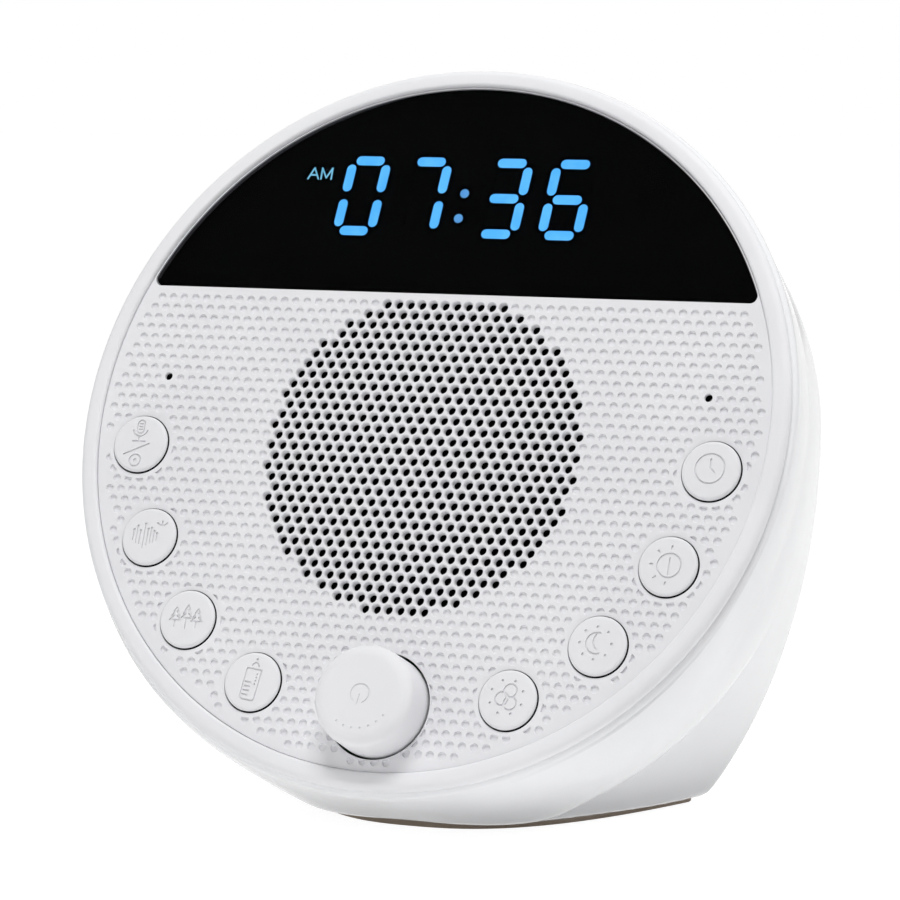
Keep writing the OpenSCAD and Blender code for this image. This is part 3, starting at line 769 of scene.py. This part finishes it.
def makeLens():
    s = lensSet
    solid = Solid()
    levels = [(-s["edge"], s["front"]), (0, s["front"] - s["edge"]), (0, s["front"] - s["thick"])]
    rings = [solid.ring([(x, y, z) for x, y in lensOutline(grow)]) for grow, z in levels]
    for one, two in zip(rings, rings[1:]):
        solid.band(one, two)
    solid.faces += [tuple(rings[0]), tuple(reversed(rings[-1]))]
    solid.piece("lens", "display_lens", sharp=20)
    behind = Solid()
    behind.inlaid([lensOutline(-s["printInset"])], s["print"], s["printThick"])
    behind.piece("lens_print", "display_lens", finish="print_and_painted_shade_black")


digitSet = {"centres": (-19.97, -8.17, 7.23, 19.13), "up": 41.98, "height": 13.3, "width": 6.6, "stroke": 1.7,
            "slant": 4.1, "halfAcross": 1.84, "sideFrom": 1.62, "sideTo": 5.02, "front": -1.38, "thick": 0.1,
            "lit": ("abcdef", "abc", "abcdg", "acdefg"), "colon": ((-0.38, 0.8), (-0.78, -3.9)), "colonRadius": 0.82}


def segmentLoop(name):
    s = digitSet
    w, h, e = s["width"] / 2, s["height"] / 2, s["halfAcross"]
    low, high = s["sideFrom"], s["sideTo"]
    ends = {"a": ((-e, h), (e, h)), "b": ((w, low), (w, high)), "c": ((w, -high), (w, -low)),
            "d": ((-e, -h), (e, -h)), "e": ((-w, -high), (-w, -low)), "f": ((-w, low), (-w, high)),
            "g": ((-e, 0), (e, 0))}[name]
    shear = math.tan(math.radians(s["slant"]))
    return [(x + y * shear, y) for x, y in stroke(ends, s["stroke"], caps=7)]


def makeDigits():
    s = digitSet
    lit, dark = Solid(), Solid()
    for x, shown in zip(s["centres"], s["lit"]):
        for name in "abcdefg":
            (lit if name in shown else dark).inlaid(moved([segmentLoop(name)], x, s["up"]), s["front"], s["thick"])
    lit.piece("digits_lit", "segments_lit")
    dark.piece("digits_dark", "segments_dark")
    colon = Solid()
    for x, y in s["colon"]:
        colon.inlaid([circle(x, s["up"] + y, s["colonRadius"], 24)], s["front"], s["thick"])
    colon.piece("colon_dots", "segments_lit", finish="colon_lit")


letterSet = {"left": -31.15, "low": 45.0, "tall": 2.1, "line": 0.25, "aWide": 2.05, "mWide": 2.0, "mLeft": 2.55}


def makeLetters():
    s = letterSet
    t, a, m = s["tall"], s["aWide"], s["mWide"]
    strokes = [stroke(p, s["line"], 3) for p in (
        [(0, 0), (a / 2, t)], [(a, 0), (a / 2, t)], [(a * 0.2, t * 0.36), (a * 0.8, t * 0.36)])]
    strokes += moved([stroke(p, s["line"], 3) for p in (
        [(0, 0), (0, t)], [(m, 0), (m, t)], [(0, t), (m / 2, t * 0.12)], [(m, t), (m / 2, t * 0.12)])], s["mLeft"], 0)
    solid = Solid()
    solid.inlaid(moved(strokes, s["left"], s["low"]), digitSet["front"], digitSet["thick"])
    solid.piece("morning_letters", "segments_lit", finish="letters_lit")


makeLens()
makeDigits()
makeLetters()
print("display")


# ---- front panel with its dimples and grille holes

panelSet = {
    "pitch": 2.2, "grilleReach": 29.35, "topRow": 14, "dimpleReach": 60.75,
    "margin": 0.8, "knobMargin": 0.3, "pinMargin": 1.5,
    "edge": 0.15, "rimEdge": 0.08, "recess": 1.6, "window": ((-32.8, 25.8), (32.15, 51.25)), "keyHole": 5.38,
    "knobHole": 9.45, "shade": -0.7, "leastLeft": 0.38, "around": 240, "sides": 16, "rows": 32, "columns": 31,
    "dimple": ((0.77, 0.0), (0.73, -0.06), (0.7, -0.2), (0.66, -0.32), (0.57, -0.4), (0.42, -0.425)),
    "hole": ((0.97, 0.0), (0.89, -0.09), (0.81, -0.32), (0.76, -0.65), (0.72, -1.05)),
}
keyNodes = [n for n in frame["nodes"] if n.startswith("key_")]
keyShift = (-0.15, 0.4)    # the photo's keys against their nodes
keyPlaces = {n: tuple(np.add(nodeOnFace(n)[:2], keyShift)) for n in keyNodes}


def latticePlaces():
    s = panelSet
    rowStep = s["pitch"] * math.sqrt(3) / 2
    holes, dimples = [], []
    for row in range(-s["rows"], s["topRow"] + 1):
        for column in range(-s["columns"], s["columns"] + 1):
            x = s["pitch"] * (column + (0.5 if row % 2 else 0.0))
            y = rowStep * row
            if math.hypot(x, y) <= s["grilleReach"]:
                holes.append((x, y - faceSize["speakerDrop"]))
            elif math.hypot(x, y - faceSize["speakerDrop"]) <= s["dimpleReach"]:
                dimples.append((x, y - faceSize["speakerDrop"]))
    return holes, dimples


def cutBack(loop, keepOuts):
    # pushes the points of a dimple's rim out of the flat margins; None where too little is left
    pushed = 0
    result = []
    for x, y in loop:
        for kx, ky, radius in keepOuts:
            gap = math.hypot(x - kx, y - ky)
            if gap < radius:
                x, y = kx + (x - kx) * radius / gap, ky + (y - ky) * radius / gap
                pushed += 1
        result.append((x, y))
    return result if pushed <= (1 - panelSet["leastLeft"]) * len(loop) else None


def makePanel():
    s = panelSet
    thick = faceSize["panelThick"]
    holes, dimples = latticePlaces()
    px, py = faceSize["pinholes"]
    knobAt = (0.0, -faceSize["knobDrop"])
    keepOuts = [(x, y, s["keyHole"] + s["margin"]) for x, y in keyPlaces.values()]
    keepOuts += [knobAt + (s["knobHole"] + s["knobMargin"],), (px, py, s["pinMargin"]), (-px, py, s["pinMargin"])]
    solid = Solid()
    rimLoops = []
    for x, y in dimples:
        near = [k for k in keepOuts if math.hypot(x - k[0], y - k[1]) < k[2] + 1]
        loop = cutBack(circle(x, y, s["dimple"][0][0], s["sides"]), near)
        if not loop:
            continue
        rimLoops.append(loop)
        middle = np.mean(loop, 0)
        rings = []
        for radius, z in s["dimple"]:
            share = radius / s["dimple"][0][0]
            rings.append(solid.ring([(*(middle + (np.array(p) - middle) * share), z) for p in loop]))
        for one, two in zip(rings, rings[1:]):
            solid.band(one, two)
        solid.faces.append(tuple(rings[-1]))
    backLoops = []
    for x, y in holes:
        rimLoops.append(circle(x, y, s["hole"][0][0], s["sides"]))
        backLoops.append(circle(x, y, s["hole"][-1][0], s["sides"]))
        solid.turned(s["hole"] + ((s["hole"][-1][0], -thick),), x, y, s["sides"])
    bores = [(x, y, s["keyHole"], 96) for x, y in keyPlaces.values()]
    bores += [knobAt + (s["knobHole"], 144), (px, py, faceSize["pinholeRadius"], 24),
              (-px, py, faceSize["pinholeRadius"], 24)]
    for x, y, radius, count in bores:
        rimLoops.append(circle(x, y, radius + s["edge"], count))
        backLoops.append(circle(x, y, radius, count))
        solid.turned([(radius + s["edge"], 0.0), (radius + 0.04, -0.05), (radius, -s["edge"]), (radius, s["shade"]),
                      (radius, -thick)], x, y, count)
    outer = faceSize["panelRadius"]
    solid.turned([(outer - s["rimEdge"], 0.0), (outer, -s["rimEdge"]), (outer, -thick)], 0, 0, s["around"])
    recess = lensOutline(lensSet["gap"])
    (x0, x1), (y0, y1) = s["window"]
    window = [(x0, y0), (x1, y0), (x1, y1), (x0, y1)]
    solid.band(solid.ring([p + (0.0,) for p in recess]), solid.ring([p + (-s["recess"],) for p in recess]))
    solid.band(solid.ring([p + (-s["recess"],) for p in window]), solid.ring([p + (-thick,) for p in window]))
    solid.sheet(recess, [window], -s["recess"])
    solid.sheet(circle(0, 0, outer - s["rimEdge"], s["around"]), [recess] + rimLoops, 0.0)
    solid.sheet(circle(0, 0, outer, s["around"]), [window] + backLoops, -thick)

    def isPaintedShade(c):
        # faces painted black as shade: the floor of the lens recess, the grille holes below their lips, and the gaps
        # round keys and knob
        reach = math.hypot(c[0], c[1])
        fromSpeaker = math.hypot(c[0], c[1] + faceSize["speakerDrop"])
        behindLens = c[1] > lensSet["lower"] and c[2] < -0.9 and reach < lensSet["radius"] - 0.05
        inHole = fromSpeaker < s["grilleReach"] + 1 and c[2] < s["hole"][-1][1] - 0.05
        inGap = c[2] < s["shade"] and s["grilleReach"] + 7 < reach < outer - 1
        return c[2] > 0.01 - thick and (behindLens or inHole or inGap)

    solid.piece("panel", "front_panel", sharp=32, looseFinish=("print_and_painted_shade_black", isPaintedShade))


makePanel()


# ---- keys and their engraved signs

keySet = {"radius": 5.2, "rise": 0.65, "round": 0.6, "foot": -2.6, "line": 0.3, "depth": 0.24, "around": 96,
          "shift": (-0.05, 0.07), "paintedShadeBelow": -0.5}
line = keySet["line"]


def tree(x, top, foot):
    strokes = []
    for level, (near, far) in enumerate(((0.0, 0.45), (0.18, 0.75), (0.32, 1.02))):
        y = top - 0.75 * level
        strokes += [stroke([(x + side * near, y), (x + side * far, y - 0.75)], line) for side in (-1, 1)]
    y = top - 0.75 * 3
    return strokes + [stroke([(x - 1.02, y), (x + 1.02, y)], line), stroke([(x, y), (x, foot)], line)]


def dots(places, radius=0.26):
    return [circle(x, y, radius, 12) for x, y in places]


def recordSign():
    x = -0.25
    capsule = ringStrokes(x, 3.6, 0.68, line * 0.8, 0, 180) + ringStrokes(x, 2.55, 0.68, line * 0.8, 180, 360)
    capsule += [stroke([(x + k, 2.55), (x + k, 3.6)], line * 0.8) for k in (-0.68, 0.68)]
    bars = [stroke([(x - 0.3, y), (x + 0.3, y)], line * 0.8) for y in (2.6, 3.1, 3.6)]
    holder = ringStrokes(x, 2.75, 1.42, line, 195, 345)
    stand = [stroke([(x, 1.3), (x, 0.45)], line), stroke([(x - 1.2, 0.4), (x + 1.2, 0.4)], line)]
    slash = [stroke([(-2.75, -2.1), (1.8, 0.0)], line)]
    target = ringStrokes(-0.35, -3.15, 1.08, line) + dots([(-0.35, -3.15)], 0.34)
    return capsule + bars + holder + stand + slash + target


def natureSign():
    bars = ((-2.9, 1.1, -0.8), (-2.25, 1.8, -1.3), (-1.6, 1.0, -1.4), (-0.8, 2.25, -2.1), (-0.15, 1.35, -1.6),
            (0.45, 1.55, -1.3), (1.05, 0.95, -1.1), (1.65, 0.6, -0.6))
    leaves = [stroke(p, line) for p in ([(1.4, 2.55), (1.85, 2.25), (2.3, 2.1)], [(2.35, 2.9), (2.4, 2.15)],
                                        [(3.3, 2.6), (2.9, 2.25), (2.5, 2.1)])]
    return [stroke([(x, high), (x, low)], line * 0.85) for x, high, low in bars] + leaves + dots(
        [(x, high) for x, high, low in bars])


def forestSign():
    return tree(-2.15, 1.95, -1.5) + tree(0.0, 2.4, -1.75) + tree(2.0, 1.85, -1.5)


def lullabySign():
    half, low, high, corner = 1.4, -3.3, 2.2, 0.55
    body = [stroke([(-half, low + corner), (-half, high)], line), stroke([(half, low + corner), (half, high)], line),
            stroke([(-half + corner, low), (half - corner, low)], line), stroke([(-half, high), (half, high)], line)]
    body += ringStrokes(-half + corner, low + corner, corner, line, 180, 270)
    body += ringStrokes(half - corner, low + corner, corner, line, 270, 360)
    cap = ringStrokes(0, high + 0.5, 0.62, line, 10, 170)
    marks = [stroke([(-1.05, y), (-0.1, y)], line) for y in (-2.45, -1.7, -0.95, -0.2)]
    return rotated(body + cap + marks + dots([(0, high + 1.75)], 0.26) + dots(
        [(0.72, y) for y in (-0.4, 0.2, 0.8, 1.4)], 0.16), -7)


def clockSign():
    return ringStrokes(-0.1, 0.3, 2.6, line) + [stroke([(-0.1, 1.95), (-0.05, 0.4), (0.75, -0.3)], line)] + dots(
        [(-0.1, 1.85)], 0.22)


def sunriseSign():
    rays = [stroke(p, line * 1.2) for p in turnedRays(0.3, 0.1, 2.95, 3.35, (88, 132, 178, 222, 265))]
    return ringStrokes(0.3, 0.1, 2.1, line) + [stroke([(0.3, 1.45), (0.3, -1.5)], line * 0.8)] + rays


def turnedRays(x, y, near, far, angles):
    turns = [math.radians(a) for a in angles]
    return [[(x + near * math.cos(t), y + near * math.sin(t)), (x + far * math.cos(t), y + far * math.sin(t))]
            for t in turns]


def aroundPoint(x, y, radius, angles):
    return [(x + radius * math.cos(math.radians(a)), y + radius * math.sin(math.radians(a))) for a in angles]


def nightSign():
    moon = ringStrokes(-0.1, 0.4, 1.85, line, 74, 290) + ringStrokes(1.2, 0.75, 1.85, line, 135, 230)
    return moon + dots(aroundPoint(-0.25, 0.4, 2.85, range(0, 360, 45)))


def colourSign():
    rings = [ringStrokes(x, y, 1.15, line) for x, y in ((0.42, 1.55), (-0.95, 0.1), (0.62, -0.6))]
    return sum(rings, dots(aroundPoint(-0.1, 0.4, 3.05, [22.5 + 45 * k for k in range(8)])))


signs = {"record": recordSign, "nature": natureSign, "forest": forestSign, "lullaby": lullabySign,
         "clock": clockSign, "sunrise": sunriseSign, "night": nightSign, "colour": colourSign}


def makeKeys():
    s = keySet
    flat = s["radius"] - s["round"]
    for node, place in keyPlaces.items():
        x, y = np.add(place, s["shift"])
        solid = Solid()
        profile = arc(flat, s["rise"] - s["round"], s["round"], 90, 0, 7)
        solid.turned(profile + [(s["radius"], s["foot"]), (0.0, s["foot"])], x, y, s["around"])
        sign = moved(signs[node[4:]](), x, y)
        solid.engraved(circle(x, y, flat, s["around"]), sign, s["rise"], s["depth"])
        # the lower sides of the key are painted black as shade in the gap round it
        solid.piece(node[4:] + "_button", node, looseFinish=("print_and_painted_shade_black", lambda c: c[2] < s["paintedShadeBelow"]))


makeKeys()


# ---- knob

knobSet = {"foot": 9.05, "flat": 6.6, "round": 2.3, "height": 8.0, "under": -1.2,
           "ring": 1.65, "line": 0.24, "depth": 0.14, "dotRadius": 0.24, "dotReach": 6.05,
           "dotTurns": (-34, -19.3, -4.6, 10.1, 24.8, 39.5, 54.2), "around": 160, "signTurn": 171}


def makeKnob():
    s = knobSet
    x, y = 0.0, -faceSize["knobDrop"]
    profile = arc(s["flat"], s["height"] - s["round"], s["round"], 90, 0, 12)
    solid = Solid()
    solid.turned(profile + [(s["foot"], s["under"]), (0.0, s["under"])], x, y, s["around"])
    power = ringStrokes(0, 0, s["ring"], s["line"], 122, 418) + [stroke([(0, 0.2), (0, 1.95)], s["line"])]
    power = rotated(power, s["signTurn"])
    turns = [math.radians(270 + t) for t in s["dotTurns"]]
    marks = [circle(s["dotReach"] * math.cos(t), s["dotReach"] * math.sin(t), s["dotRadius"], 14) for t in turns]
    solid.engraved(circle(x, y, s["flat"], s["around"]), moved(power + marks, x, y), s["height"], s["depth"])
    solid.piece("dial_knob", "knob", sharp=30)


makeKnob()
